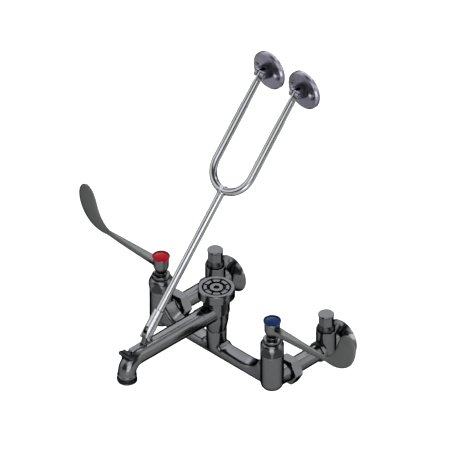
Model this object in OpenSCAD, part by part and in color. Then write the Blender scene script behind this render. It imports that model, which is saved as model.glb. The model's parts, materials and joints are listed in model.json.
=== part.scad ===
// Wall-mounted service sink faucet: two wrist-blade valves on a bridge body, an atmospheric
// vacuum breaker, a spout with a hose thread and a pail hook, and a forked brace to the wall.
// The wall is the plane Y = 0, the user stands at -Y, and both supply inlets lie on Z = 0.
// Hot is on the left (-X), cold on the right (+X). All sizes are in millimetres.

/* [Layout] */
// Distance between the two supply inlets, centre to centre
inlet_centres = 203.2; // [180:0.1:245]
// Distance from the wall to the line of the two valves
valve_reach = 130; // [122:1:160]
// Distance from the valve line to the outlet axis
spout_reach = 163; // [150:1:200]

/* [Bridge body] */
// Outside diameter of a valve tower
tower_d = 31; // [30:0.5:34]
// Top of a valve tower above the inlet axis
tower_h = 41; // [38:0.5:50]
// Underside of a valve tower below the inlet axis
tower_drop = 15; // [14:0.5:17]
// Depth of the cross bar, front to back
bar_depth = 24.5; // [22:0.5:26]
// Height of the cross bar
bar_h = 14; // [12:0.5:16]
// Underside of the cross bar below the inlet axis
bar_drop = 6; // [5:0.5:7]
// Radius of the cross bar's long edges
bar_edge = 5; // [2:0.5:5.5]
// How far the top of the cross bar rises where it meets a valve tower
bar_rise = 17; // [0:0.5:20]
// Length of that rise along the cross bar
bar_rise_l = 36; // [20:1:38]
// Bore of the cross bar
bar_bore = 8.6; // [6:0.2:9]
// Outside diameter of the centre column
column_d = 27; // [25:0.5:31]
// Top of the centre column above the inlet axis
column_h = 30; // [27:0.5:36]

/* [Unions] */
// Diameter of the union thread behind a tower
union_thread_d = 26.6; // [25:0.2:28]
// Distance from the tower axis to the nut's front face
union_front = 24.5; // [22:0.5:27]
// Length of the union thread inside the nut
union_thread_l = 8; // [6:0.5:10]
// Width across the flats of a coupling nut
nut_flats = 35; // [33:0.5:38]
// Thickness of a union washer
union_washer_t = 1.5; // [1:0.1:2.5]

/* [Inlet arms] */
// Outside diameter of an inlet arm
arm_d = 23; // [21:0.5:25]
// Bore of an inlet arm
arm_bore = 15; // [12:0.5:16]
// Wall radius of the half-inch female pipe thread at the wall
inlet_thread_r = 9.3; // [9:0.1:9.6]
// Depth of the female pipe thread
inlet_thread_l = 13; // [11:0.5:14]
// Diameter of a wall escutcheon
escutcheon_d = 52.5; // [48:0.5:60]
// Height of the escutcheon's dome
escutcheon_h = 12; // [9:0.5:14]
// Wall thickness of the escutcheon
escutcheon_t = 1.2; // [0.8:0.1:1.6]

/* [Service stops] */
// Distance from the wall to a stop's axis
stop_from_wall = 30.7; // [29:0.5:36]
// Outside diameter of a stop body
stop_d = 27; // [26:0.5:31]
// Top of a stop body above the inlet axis
stop_h = 29.5; // [28:0.5:36]
// Underside of a stop body below the inlet axis
stop_drop = 13; // [12.5:0.5:15]
// Top of a stop cap above the inlet axis
stop_cap_top = 53.7; // [52:0.1:60]
// Width across the flats of a stop cap
stop_cap_flats = 17.8; // [17:0.2:19]
// Diameter of a stop cap's round lip
stop_lip_d = 21.2; // [20:0.2:23]
// Travel of a stop disc from open to shut
stop_travel = 4.5; // [3.5:0.1:5]

/* [Valves] */
// Width across the wrench flats of a bonnet
bonnet_flats = 31; // [29:0.5:31.5]
// Diameter of the bonnet's round collar
collar_d = 34.2; // [33.5:0.1:35]
// Height of the collar above the tower
collar_h = 16.5; // [14:0.5:20]
// Height of the bonnet's neck above the collar
neck_h = 11; // [9:0.5:14]
// Diameter of the bonnet's neck
neck_d = 15.2; // [14:0.2:17]
// Diameter of a valve stem
stem_d = 8; // [7:0.2:8.4]
// Thickness of each ceramic disc
disc_t = 3; // [2.5:0.1:3.5]

/* [Handles] */
// Diameter of a handle hub
hub_d = 21; // [20:0.2:23]
// Height of a handle hub
hub_h = 20.6; // [20:0.2:24]
// Length of the straight arm, from the hub axis to the knuckle
handle_arm = 97; // [75:1:115]
// Width of the arm at the hub
arm_root_w = 13.6; // [11:0.2:15]
// Height of the arm
arm_h = 7; // [6:0.2:7.4]
// Width of the wrist blade
blade_w = 32; // [26:0.5:38]
// Rise of the wrist blade above the arm
blade_rise = 56.5; // [45:0.5:70]
// Reach of the wrist blade beyond the knuckle
blade_reach = 41; // [32:0.5:50]
// Thickness of the wrist blade
blade_t = 4.2; // [3:0.1:5]

/* [Vacuum breaker] */
// Diameter of the breaker body
breaker_d = 35.2; // [34:0.2:38]
// Height of the flared part above the column
flare_h = 29; // [26:0.5:34]
// Height of the straight part above the flare
barrel_h = 22; // [20:0.5:26]
// Outside diameter of the cap ring
cap_d = 48.8; // [46:0.2:52]
// Height of the cap ring
cap_h = 14; // [13:0.2:17]
// Diameter of the opening in the cap ring
cap_opening = 37.6; // [36.6:0.2:39.6]
// Number of air windows, and of lands around them
windows = 8; // [6:1:10]
// Lift of the float
float_lift = 4; // [3:0.1:4.4]

/* [Spout] */
// Diameter of the spout at its root
spout_root_d = 25; // [24:0.2:26]
// Diameter of the spout at its elbow
spout_d = 24.2; // [23:0.2:25]
// Bore of the spout
spout_bore = 18.4; // [16:0.2:19]
// Centre-line radius of the elbow
elbow_r = 18; // [16:0.5:22]
// Length of the stub on the breaker body, from the breaker axis
stub_l = 31; // [28:0.5:36]
// Outside diameter of the hose thread
hose_thread_d = 26.9; // [26.9:0.1:27.1]
// Length of the hose thread
hose_thread_l = 9; // [8:0.5:12]
// Thickness of the brace lug and of the land behind it
lug_t = 6; // [5:0.2:7]
// Distance from the outlet axis back to the brace pin
pin_setback = 35.5; // [28:0.5:40]
// Height of the brace pin above the spout's axis
pin_rise = 23.1; // [18.5:0.1:26]

/* [Brace] */
// Length from the brace pin to the wall pivots
brace_l = 366.2; // [330:0.1:420]
// Length from the brace pin to the bottom of the fork
fork_start = 211.6; // [180:0.1:250]
// Distance between the fork's legs, centre to centre
leg_spacing = 63.5; // [58:0.1:80]
// Diameter of the rod and of the fork
rod_d = 9.5; // [9:0.1:10.5]
// Diameter of the clevis sleeve
clevis_d = 15; // [14.6:0.2:17]
// Length of the clevis sleeve beyond the pin
clevis_l = 35.5; // [32:0.5:45]
// Diameter of the brace pin
brace_pin_d = 5; // [4.4:0.1:5.4]
// Diameter of a wall flange
flange_d = 53.5; // [48:0.5:56]
// Thickness of a wall flange
flange_t = 6; // [4:0.2:6.5]
// Distance from the wall to a flange's pivot
flange_pivot = 17.5; // [17:0.1:20]
// Distance between a flange's screw holes
screw_spacing = 34.6; // [32:0.2:38]
// Diameter of a flange's screw holes
screw_hole_d = 5.6; // [5:0.1:6.4]

/* [Fits] */
// Radial clearance of a turning or sliding fit
running_gap = 0.05; // [0.03:0.01:0.08]
// Radial clearance of a screwed or pressed joint
thread_gap = 0.1; // [0.05:0.01:0.15]
// Clearance between pieces that only pass each other
slip_gap = 0.3; // [0.25:0.05:0.4]

/* [Hidden] */

round_fn = 96;
hot = -1;
cold = 1;
valve_x = inlet_centres / 2;
valve_y = -valve_reach;
tower_r = tower_d / 2;

// Bridge body
bar_z = bar_h / 2 - bar_drop;
bar_top = bar_h - bar_drop;
foot_drop = 0.5 - bar_drop;
column_fillet = 4;
column_fillet_l = 6.5;
corner_points = 5;
rise_steps = [0, 0.04, 0.1, 0.17, 0.25, 0.34, 0.45, 0.56, 0.7, 0.84, 1];
fillet_steps = [0, 0.2, 0.42, 0.68, 1];
chamber_bore = 12;
seat_z = 12;
gallery_z = 16;
bonnet_thread_r = tower_r - 2.5;
bonnet_thread_l = 8;
gallery_r = bonnet_thread_r + thread_gap;
riser_r = 2;
riser_x = gallery_r - 1;
column_r = column_d / 2;
neck_r = union_thread_d / 2 + 0.5;
column_bore = 15.2;
breaker_thread_r = column_r - 3.4;
breaker_thread_l = 11;

// Unions and inlet arms, measured from the tower axis towards the wall
union_bore = 13;
union_end = union_front + union_thread_l;
arm_start = union_end + union_washer_t;
arm_collar_t = 1.8;
nut_lip_t = 2;
nut_end = arm_start + arm_collar_t + nut_lip_t;
arm_r = arm_d / 2;
arm_collar_r = union_thread_d / 2 - 0.3;
stop_ring_l = 3;
stop_ring_r = arm_r + 2.5;

// Service stops
stop_r = stop_d / 2;
stop_y = -stop_from_wall;
stop_seat_z = 3.5;
stop_orifice_r = 4.6;
stop_low_z = -4.5;
stop_low_r = 4.1;
stop_high_z = 7;
stop_high_r = 2.8;
stop_chamber_r = stop_r - 3.9;
stop_thread_r = stop_r - 3.1;
stop_thread_l = 9;
stop_skirt_z = 14;
spindle_thread_r = 6;
spindle_r = 3.5;
spindle_shank_r = 3;
spindle_shoulder_z = stop_h - 1.5;
stop_disc_r = 7.2;
stop_disc_h = 4.9;
seating_gap = 0.1;
stop_disc_z = stop_seat_z + stop_travel + seating_gap;
stop_flange_h = 7.5;
cap_base_z = stop_h + stop_flange_h;
stop_neck_r = 6.4;
stop_neck_l = 7;
spindle_top = cap_base_z + stop_neck_l + 1;
stop_lip_h = 3.4;

// Valves, heights above the inlet axis
stem_r = stem_d / 2;
seal_t = 2;
cart_z = seat_z + seal_t;
cart_r = gallery_r - 1.8;
cart_wall = 2.1;
disc_r = cart_r - cart_wall - running_gap;
foot_z = cart_z + 2 * disc_t;
foot_t = 4;
cart_shoulder_z = tower_h - bonnet_thread_l;
cart_neck_r = 8.5;
cart_top = tower_h + 9;
collar_r = collar_d / 2;
collar_top = tower_h + collar_h;
neck_top = collar_top + neck_h;
bead_r = neck_d / 2 + 4.4;
bead_top = neck_top - 2.8;
flat_turns = [-4.5, -15];
arch_drop = 1.4;
port_r = 2.3;
port_at = 5;
ring_minor = 0.75;
ring_zs = [tower_h - 1, tower_h + 4];

// Handles
hub_r = hub_d / 2;
hub_z = neck_top + 2.2;
hub_top = hub_z + hub_h;
recess_z = hub_top - 7.4;
recess_r = hub_r - 2;
button_r = hub_r + 1.1;
spline_n = 16;
spline_depth = 0.5;
spline_gap = 0.08;
spline_r = stem_r - 0.05;
stem_top = recess_z - 1.8;
screw_r = 2;
screw_head_r = 3.6;
arm_z = hub_top - 11.4;
arm_start_u = hub_r - 3.4;
arm_rings = 5;
blade_rings = 22;
ring_points = 16;
blade_path = [[handle_arm, arm_z + 0.03 * blade_rise],
    [handle_arm + 0.61 * blade_reach, arm_z + 0.09 * blade_rise],
    [handle_arm + 0.98 * blade_reach, arm_z + 0.39 * blade_rise],
    [handle_arm + blade_reach, arm_z + 1.02 * blade_rise]];

// Vacuum breaker
breaker_r = breaker_d / 2;
flare_top = column_h + flare_h;
barrel_top = flare_top + barrel_h;
cap_top = barrel_top + cap_h;
cap_r = cap_d / 2;
cap_thread_r = cap_r - 3.3;
guide_t = 2;
guide_z = cap_top - 6.5;
guide_r = cap_thread_r - 0.2;
guide_hub_r = 8.5;
guide_top = cap_top - 0.4;
land_in = 12.6;
land_out = cap_opening / 2 - 2;
land_slot = 2.6;
window_in = 9;
window_out = 12.2;
spoke_w = 2.4;
float_stem_r = 4;
float_room_r = breaker_r - 3.2;
chamber_z = column_h + 19;
riser_out_r = 9.8;
riser_in_r = 7.6;
breaker_seat_z = guide_z - 22;
breaker_seat_t = 3;
float_disc_r = float_room_r - 0.8;
washer_t = 1.1;
float_top_z = guide_z - seating_gap - float_lift - washer_t;
set_screw_r = 1.5;
set_screw_turn = -19;
set_screw_z = guide_z + 1;

// Spout
spout_z = flare_top + 0.5;
root_r = spout_root_d / 2;
pipe_r = spout_d / 2;
bore_r = spout_bore / 2;
stub_r = root_r + 0.7;
spigot_r = root_r - 2;
spigot_l = 10;
outlet_y = valve_y - spout_reach;
elbow_y = outlet_y + elbow_r;
elbow_z = spout_z - elbow_r;
thread_top_z = elbow_z - 3.5;
thread_bottom_z = thread_top_z - hose_thread_l;
land_w = 8;
land_rise = 2.3;
land_top = spout_z + pipe_r + land_rise;
land_end_y = outlet_y + 6.5;
pin_y = outlet_y + pin_setback;
pin_z = spout_z + pin_rise;
lug_r = 5;
hook_y = outlet_y - 1.6;
hook_bar_r = 3.2;
hook_bar_z = spout_z + 9.2;
hook_top_z = spout_z + 16;
hook_t = 4.4;
hook_root = 6;

// Brace: a triangle of the pin, the wall pivots and the wall
brace_run = -flange_pivot - pin_y;
brace_angle = acos(brace_run / brace_l);
rod_r = rod_d / 2;
clevis_r = clevis_d / 2;
clevis_end_r = 5.5;
clevis_slot = lug_t + 0.5;
clevis_slot_l = 8;
rod_socket = 18;
bend_r = leg_spacing / 2;
bend_at = fork_start + bend_r;
tongue_t = 5;
tongue_l = 10;
ear_slot = tongue_t + 0.4;
ear_slot_depth = 8.5;
ear_w = 15;
ear_r = 5.5;
flange_drop = 1.6;
flange_pin_r = 2.2;
pivot_z = pin_z + brace_l * sin(brace_angle);
flange_r = flange_d / 2;

// ---- Helpers ----

module turned(points) {
    rotate_extrude($fn = round_fn) polygon(points);
}

module rod_y(r, from, to) {
    translate([0, from, 0]) rotate([-90, 0, 0]) cylinder(r = r, h = to - from, $fn = round_fn);
}

module rod_x(r, from, to) {
    translate([from, 0, 0]) rotate([0, 90, 0]) cylinder(r = r, h = to - from, $fn = round_fn);
}

module at_valve(side) {
    translate([side * valve_x, valve_y, 0]) children();
}

module at_stop(side) {
    translate([side * valve_x, stop_y, 0]) children();
}

// Along the brace: Z runs from the brace pin to the wall pivots
module on_brace() {
    translate([0, pin_y, pin_z]) rotate([brace_angle - 90, 0, 0]) children();
}

module mirrored(side) {
    if (side < 0) mirror([1, 0, 0]) children();
    else children();
}

// A cylinder whose rounded bottom lies below the origin
module round_bottomed(r, h, drop) {
    edge = r - 3;
    rotate_extrude($fn = round_fn) {
        translate([0, edge - drop]) square([r, h + drop - edge]);
        translate([0, -drop]) square([r - edge, edge]);
        intersection() {
            translate([r - edge, edge - drop]) circle(edge, $fn = round_fn);
            translate([r - edge, -drop]) square([edge, edge]);
        }
    }
}

// A skin over rings of points, closed by a flat face at either end
module loft(rings) {
    last = len(rings) - 1;
    n = len(rings[0]);
    sides = [for (i = [0 : last - 1], j = [0 : n - 1])
        [i * n + j, (i + 1) * n + j, (i + 1) * n + (j + 1) % n, i * n + (j + 1) % n]];
    ends = [[for (j = [0 : n - 1]) j], [for (j = [n - 1 : -1 : 0]) last * n + j]];
    polyhedron([for (ring = rings) each ring], concat(sides, ends), convexity = 6);
}

// A hexagon with its corners turned off at both ends, along Z
module chamfered_hex(flats, h, chamfer) {
    corner = flats / 2 / cos(30);
    intersection() {
        cylinder(r = corner, h = h, $fn = 6);
        turned([[0, 0], [corner - chamfer, 0], [corner, chamfer / 2], [corner, h - chamfer / 2],
            [corner - chamfer, h], [0, h]]);
    }
}

// ---- Bridge body and unions ----

module bridge_body() {
    color("silver") difference() {
        union() {
            for (side = [hot, cold]) at_valve(side) {
                round_bottomed(tower_r, tower_h, tower_drop);
                rod_y(neck_r, 0, union_front - slip_gap);
                rod_y(union_thread_d / 2, union_front - 1, union_end);
            }
            translate([0, valve_y, 0]) {
                turned([[0, foot_drop], [column_r - bar_edge + 0.5, foot_drop],
                    [column_r, bar_top - bar_edge], [column_r, column_h], [0, column_h]]);
                cross_bar();
            }
        }
        for (side = [hot, cold]) at_valve(side) tower_bores(side);
        translate([0, valve_y, bar_z]) {
            rod_x(bar_bore / 2, riser_x - valve_x, valve_x - riser_x);
            cylinder(r = column_bore / 2, h = column_h, $fn = round_fn);
        }
        translate([0, valve_y, column_h - breaker_thread_l - 1])
            cylinder(r = breaker_thread_r + thread_gap, h = breaker_thread_l + 2, $fn = round_fn);
    }
}

// Top of the bar at a distance x from its middle: it rises to the column and to the towers
function fade(d, length, power) = pow(max(0, min(1, 1 - d / length)), power);
function bar_top_at(x) = bar_top + column_fillet * fade(x - column_r, column_fillet_l, 2)
    + bar_rise * fade(valve_x - tower_r - x, bar_rise_l, 3);
function bar_ring(x) = [for (corner = [0 : 3], i = [0 : corner_points - 1])
    let (a = 90 * (corner + i / (corner_points - 1)),
        y = (corner == 0 || corner == 3 ? 1 : -1) * (bar_depth / 2 - bar_edge),
        z = corner < 2 ? bar_top_at(abs(x)) - bar_edge : bar_edge - bar_drop)
    [x, y + bar_edge * cos(a), z + bar_edge * sin(a)]];

module cross_bar() {
    half = concat([for (s = fillet_steps) column_r + s * column_fillet_l],
        [for (i = [len(rise_steps) - 1 : -1 : 0]) valve_x - tower_r - rise_steps[i] * bar_rise_l],
        [valve_x]);
    last = len(half) - 1;
    loft([for (i = [last : -1 : 0]) bar_ring(-half[i]), for (i = [0 : last]) bar_ring(half[i])]);
}

module tower_bores(side) {
    translate([0, 0, -chamber_bore / 2 - 1])
        cylinder(r = chamber_bore / 2, h = seat_z + chamber_bore, $fn = round_fn);
    translate([0, 0, seat_z]) cylinder(r = cart_r + thread_gap, h = tower_h, $fn = round_fn);
    translate([0, 0, gallery_z]) cylinder(r = gallery_r, h = tower_h, $fn = round_fn);
    rod_y(union_bore / 2, 0, union_end + 1);
    translate([-side * riser_x, 0, bar_z]) cylinder(r = riser_r, h = gallery_z, $fn = round_fn);
}

module coupling_nut(side) {
    color("lightgray") at_valve(side) difference() {
        translate([0, union_front, 0]) rotate([-90, 0, 0])
            chamfered_hex(nut_flats, nut_end - union_front, 2.2);
        rod_y(union_thread_d / 2 + thread_gap, union_front - 1, nut_end - nut_lip_t);
        rod_y(arm_r + slip_gap, union_front - 1, nut_end + 1);
    }
}

module coupling_washer(side) {
    color("dimgray") at_valve(side) difference() {
        rod_y(arm_collar_r - 0.2, union_end, arm_start);
        rod_y(arm_bore / 2, union_end - 1, arm_start + 1);
    }
}

// ---- Inlet arms with service stops ----

module inlet_arm(side) {
    color("silver") difference() {
        union() {
            at_valve(side) {
                rod_y(arm_collar_r, arm_start, arm_start + arm_collar_t);
                rod_y(arm_r, arm_start, valve_reach);
            }
            at_stop(side) {
                round_bottomed(stop_r, stop_h, stop_drop);
                rod_y(stop_ring_r, -stop_r - stop_ring_l, -stop_r + 1);
            }
        }
        at_stop(side) stop_bores();
        at_valve(side)
            rod_y(arm_bore / 2, arm_start - 1, valve_reach - stop_from_wall - stop_r - 1);
        translate([side * valve_x, 0, 0]) rod_y(inlet_thread_r, -inlet_thread_l, 1);
    }
}

module stop_bores() {
    translate([0, 0, stop_seat_z]) cylinder(r = stop_chamber_r, h = stop_h, $fn = round_fn);
    translate([0, 0, stop_h - stop_thread_l])
        cylinder(r = stop_thread_r + thread_gap, h = stop_thread_l + 1, $fn = round_fn);
    translate([0, 0, stop_low_z - stop_low_r - 0.4])
        cylinder(r = stop_orifice_r, h = stop_chamber_r, $fn = round_fn);
    translate([0, 0, stop_low_z]) rod_y(stop_low_r, 0, stop_from_wall - inlet_thread_l);
    translate([0, 0, stop_high_z]) rod_y(stop_high_r, -stop_r - 3, 0);
}

module escutcheon(side) {
    dome_r = (pow(escutcheon_d / 2, 2) + pow(escutcheon_h, 2)) / (2 * escutcheon_h);
    color("gainsboro") translate([side * valve_x, 0, 0]) rotate([90, 0, 0]) difference() {
        intersection() {
            translate([0, 0, escutcheon_h - dome_r]) sphere(dome_r, $fn = round_fn);
            cylinder(r = escutcheon_d / 2, h = escutcheon_h + 1, $fn = round_fn);
        }
        translate([0, 0, escutcheon_h - dome_r]) sphere(dome_r - escutcheon_t, $fn = round_fn);
        translate([0, 0, -1]) cylinder(r = arm_r + slip_gap, h = escutcheon_h + 3, $fn = round_fn);
    }
}

module stop_bonnet(side) {
    bore = spindle_thread_r + running_gap;
    color("gray") at_stop(side) turned([[bore, stop_skirt_z], [stop_chamber_r - slip_gap, stop_skirt_z],
        [stop_chamber_r - slip_gap, stop_h - stop_thread_l], [stop_thread_r, stop_h - stop_thread_l],
        [stop_thread_r, stop_h], [stop_r - 1.5, stop_h], [stop_r - 1.5, stop_h + 4],
        [stop_cap_flats / 2 + 1.1, cap_base_z - 1], [stop_cap_flats / 2 + 0.4, cap_base_z],
        [stop_neck_r, cap_base_z],
        [stop_neck_r, cap_base_z + stop_neck_l], [spindle_r + running_gap, cap_base_z + stop_neck_l],
        [spindle_r + running_gap, spindle_shoulder_z], [bore, spindle_shoulder_z]]);
}

module stop_cap(side) {
    height = stop_cap_top - cap_base_z;
    color("silver") at_stop(side) translate([0, 0, cap_base_z]) difference() {
        union() {
            cylinder(r = stop_cap_flats / 2 / cos(30), h = height - stop_lip_h / 2, $fn = 6);
            translate([0, 0, height - stop_lip_h]) turned([[0, 0], [stop_lip_d / 2 - 1.2, 0],
                [stop_lip_d / 2, 1.2], [stop_lip_d / 2, stop_lip_h - 0.6],
                [stop_lip_d / 2 - 0.6, stop_lip_h], [0, stop_lip_h]]);
        }
        translate([0, 0, -1]) cylinder(r = stop_neck_r + thread_gap, h = height - 3, $fn = round_fn);
    }
}

module stop_spindle(side) {
    color("goldenrod") at_stop(side) difference() {
        turned([[0, stop_disc_z + 1.6], [spindle_shank_r, stop_disc_z + 1.6],
            [spindle_shank_r, spindle_shoulder_z - 9], [spindle_thread_r, spindle_shoulder_z - 9],
            [spindle_thread_r, spindle_shoulder_z - 1], [spindle_r, spindle_shoulder_z - 1],
            [spindle_r, spindle_top], [0, spindle_top]]);
        translate([0, 0, spindle_top]) cube([3 * spindle_r, 1.2, 3], center = true);
    }
}

module stop_disc(side) {
    color("darkslategray") at_stop(side) turned([[0, stop_disc_z], [stop_disc_r, stop_disc_z],
        [stop_disc_r, stop_disc_z + 3], [stop_disc_r - 2, stop_disc_z + stop_disc_h],
        [spindle_shank_r + running_gap, stop_disc_z + stop_disc_h],
        [spindle_shank_r + running_gap, stop_disc_z + 1.5], [0, stop_disc_z + 1.5]]);
}

// ---- Valves ----

// A round collar with six wrench flats, each ending in an arch below the collar's top
module bonnet(side) {
    bore = stem_r + running_gap;
    flat_half = sqrt(pow(collar_r, 2) - pow(bonnet_flats / 2, 2));
    arch_r = flat_half + 1;
    color("silver") at_valve(side) difference() {
        turned([[cart_neck_r + 0.2, cart_shoulder_z], [bonnet_thread_r, cart_shoulder_z],
            [bonnet_thread_r, tower_h], [tower_r, tower_h], [tower_r, tower_h + 1.2],
            [collar_r, tower_h + 2.8], [collar_r, collar_top - 0.7], [collar_r - 0.7, collar_top],
            [bead_r + 0.7, collar_top + 2.6], [bead_r - 0.9, collar_top + 2.9],
            [bead_r - 0.9, collar_top + 3.8], [bead_r, collar_top + 4.5], [bead_r, bead_top - 1.5],
            [bead_r - 0.5, bead_top - 0.5], [bead_r - 1.6, bead_top], [neck_d / 2, bead_top],
            [neck_d / 2, neck_top - 0.5], [neck_d / 2 - 0.5, neck_top], [bore, neck_top],
            [bore, cart_top + 0.5], [cart_neck_r + 0.2, cart_top + 0.5]]);
        for (turn = [0 : 60 : 300]) rotate([0, 0, turn + flat_turns[side == hot ? 0 : 1]])
            translate([bonnet_flats / 2, 0, 0]) rotate([90, 0, 90]) linear_extrude(height = collar_r) {
                translate([0, collar_top - arch_drop - arch_r]) circle(arch_r, $fn = round_fn);
                translate([-arch_r, tower_h + 1.2])
                    square([2 * arch_r, collar_h - arch_drop - arch_r - 1.2]);
            }
    }
}

module cartridge(side) {
    bore = stem_r + running_gap;
    cavity = cart_r - cart_wall;
    color("goldenrod") at_valve(side) difference() {
        turned([[cavity, cart_z], [cart_r, cart_z], [cart_r, cart_shoulder_z],
            [cart_neck_r, cart_shoulder_z], [cart_neck_r, cart_top], [bore, cart_top],
            [bore, foot_z + foot_t + 0.1], [cavity, foot_z + foot_t + 0.1]]);
        for (turn = [0, 90]) rotate([0, 0, turn + 45]) translate([0, 0, foot_z + foot_t / 2])
            rod_x(1.6, -cart_r - 1, cart_r + 1);
    }
}

module seat_seal(side) {
    color("black") at_valve(side) translate([0, 0, seat_z]) difference() {
        cylinder(r = cart_r - 0.6, h = seal_t, $fn = round_fn);
        translate([0, 0, -1]) cylinder(r = chamber_bore / 2 + 0.2, h = seal_t + 2, $fn = round_fn);
    }
}

module ceramic_disc(z, turn) {
    translate([0, 0, z]) rotate([0, 0, turn]) difference() {
        cylinder(r = disc_r, h = disc_t - 0.05, $fn = round_fn);
        for (x = [-port_at, port_at]) translate([x, 0, -1]) cylinder(r = port_r, h = disc_t + 2,
            $fn = round_fn);
    }
}

module fixed_disc(side) {
    color("white") at_valve(side) ceramic_disc(cart_z, 0);
}

module turning_disc(side) {
    color("ivory") at_valve(side) difference() {
        ceramic_disc(cart_z + disc_t, 90);
        translate([0, 0, foot_z]) cube([2 * disc_r + 2, 3.2, 2.4], center = true);
    }
}

module spline(r, z, h) {
    step = 180 / spline_n;
    translate([0, 0, z]) linear_extrude(height = h) polygon([for (i = [0 : 2 * spline_n - 1])
        (r - (i % 2) * spline_depth) * [cos(i * step), sin(i * step)]]);
}

module stem(side) {
    spline_z = hub_z + 0.6;
    ring_r = stem_r + running_gap - 0.03;
    color("goldenrod") at_valve(side) difference() {
        union() {
            turned([[0, foot_z], [disc_r - 0.4, foot_z], [disc_r - 0.4, foot_z + foot_t - 0.6],
                [disc_r - 1, foot_z + foot_t], [stem_r, foot_z + foot_t], [stem_r, spline_z],
                [0, spline_z]]);
            intersection() {
                translate([0, 0, foot_z]) cube([2 * disc_r, 3, 2.2], center = true);
                translate([0, 0, foot_z - 2]) cylinder(r = disc_r - 0.4, h = 4, $fn = round_fn);
            }
            spline(spline_r, spline_z - 0.2, stem_top - spline_z + 0.2);
        }
        for (z = ring_zs) translate([0, 0, z]) rotate_extrude($fn = round_fn)
            translate([ring_r - 2 * ring_minor - 0.02, -ring_minor - 0.05])
                square([2 * ring_minor + 2, 2 * ring_minor + 0.1]);
        translate([0, 0, hub_z + 1]) cylinder(r = screw_r + running_gap, h = stem_top, $fn = round_fn);
    }
}

module stem_rings(side) {
    ring_r = stem_r + running_gap - 0.03 - ring_minor;
    color("black") at_valve(side) for (z = ring_zs) translate([0, 0, z])
        rotate_extrude($fn = round_fn) translate([ring_r, 0]) circle(ring_minor, $fn = 48);
}

// ---- Wrist-blade handles ----

function sign_power(v, p) = sign(v) * pow(abs(v), p);
function bezier(t, p) = pow(1 - t, 3) * p[0] + 3 * pow(1 - t, 2) * t * p[1]
    + 3 * (1 - t) * t * t * p[2] + pow(t, 3) * p[3];
function bezier_dir(t, p) = pow(1 - t, 2) * (p[1] - p[0]) + 2 * (1 - t) * t * (p[2] - p[1])
    + t * t * (p[3] - p[2]);
function tip_fade(t) = t < 0.7 ? 1 : pow(max(0, 1 - pow((t - 0.7) / 0.3, 2.6)), 1 / 2.2);

// Half width of the blade in its own plane, from the arm's height to the blade's width
function blade_half(t) = (arm_h / 2 + (blade_w - arm_h) / 2 * sin(90 * min(1, t / 0.75)))
    * tip_fade(t);

// One ring of the loft: centre and normal in the XZ plane, half width and half thickness
function loft_ring(centre, normal, half_w, half_t, squareness) = [for (j = [0 : ring_points - 1])
    let (a = 360 * j / ring_points,
        w = half_w * sign_power(sin(a), squareness),
        t = half_t * sign_power(cos(a), squareness))
    [centre[0] + normal[0] * w, t, centre[1] + normal[1] * w]];

function arm_ring(i) = let (s = i / arm_rings,
        u = arm_start_u + s * (handle_arm - arm_start_u),
        half_t = arm_root_w / 2 + s * (blade_t / 2 + 0.4 - arm_root_w / 2))
    loft_ring([u, arm_z + s * s * 0.03 * blade_rise], [0, 1], arm_h / 2, half_t, 0.3 + 0.2 * s * s);

function blade_ring(i) = let (t = 1 - pow(1 - i / blade_rings, 1.6),
        d = bezier_dir(t, blade_path),
        n = [-d[1], d[0]] / norm(d))
    loft_ring(bezier(t, blade_path), n, max(blade_half(t), 1.5), blade_t / 2 * (1 - 0.25 * t), 0.55);

module blade() {
    rings = concat([for (i = [0 : arm_rings - 1]) arm_ring(i)],
        [for (i = [0 : blade_rings]) blade_ring(i)]);
    loft(rings);
}

module handle(side) {
    color("darkgray") mirrored(side) translate([valve_x, valve_y, 0]) difference() {
        union() {
            turned([[0, hub_z], [hub_r - 3.4, hub_z], [hub_r - 1.4, hub_z + 3.4],
                [hub_r - 0.3, hub_z + 6.4], [hub_r, hub_top - 0.6], [hub_r - 0.6, hub_top], [0, hub_top]]);
            blade();
        }
        spline(spline_r + spline_gap, hub_z - 1, stem_top - hub_z + 1.2);
        translate([0, 0, hub_z + 2]) cylinder(r = screw_r + 0.3, h = hub_h, $fn = round_fn);
        translate([0, 0, recess_z]) cylinder(r = recess_r, h = hub_h, $fn = round_fn);
        translate([0, 0, hub_z - 1]) cylinder(r = stem_r + 0.2, h = 1.8, $fn = round_fn);
    }
}

module handle_screw(side) {
    color("darkgoldenrod") at_valve(side) difference() {
        turned([[0, stem_top - 8], [screw_r, stem_top - 8], [screw_r, recess_z], [screw_head_r, recess_z],
            [screw_head_r, recess_z + 1.6], [screw_head_r - 1, recess_z + 2.4], [0, recess_z + 2.4]]);
        for (turn = [0, 90]) translate([0, 0, recess_z + 2.2]) rotate([0, 0, turn])
            cube([3.6, 0.9, 2.2], center = true);
    }
}

module index_button(side) {
    color(side == hot ? "firebrick" : "royalblue") at_valve(side)
        turned([[0, hub_top], [recess_r - 2.4, hub_top], [recess_r - 2.4, hub_top - 3.6],
            [recess_r - thread_gap, hub_top - 3.6], [recess_r - thread_gap, hub_top],
            [button_r, hub_top], [button_r, hub_top + 1.8], [button_r - 0.8, hub_top + 2.4],
            [0, hub_top + 2.6]]);
}

// ---- Vacuum breaker ----

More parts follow.
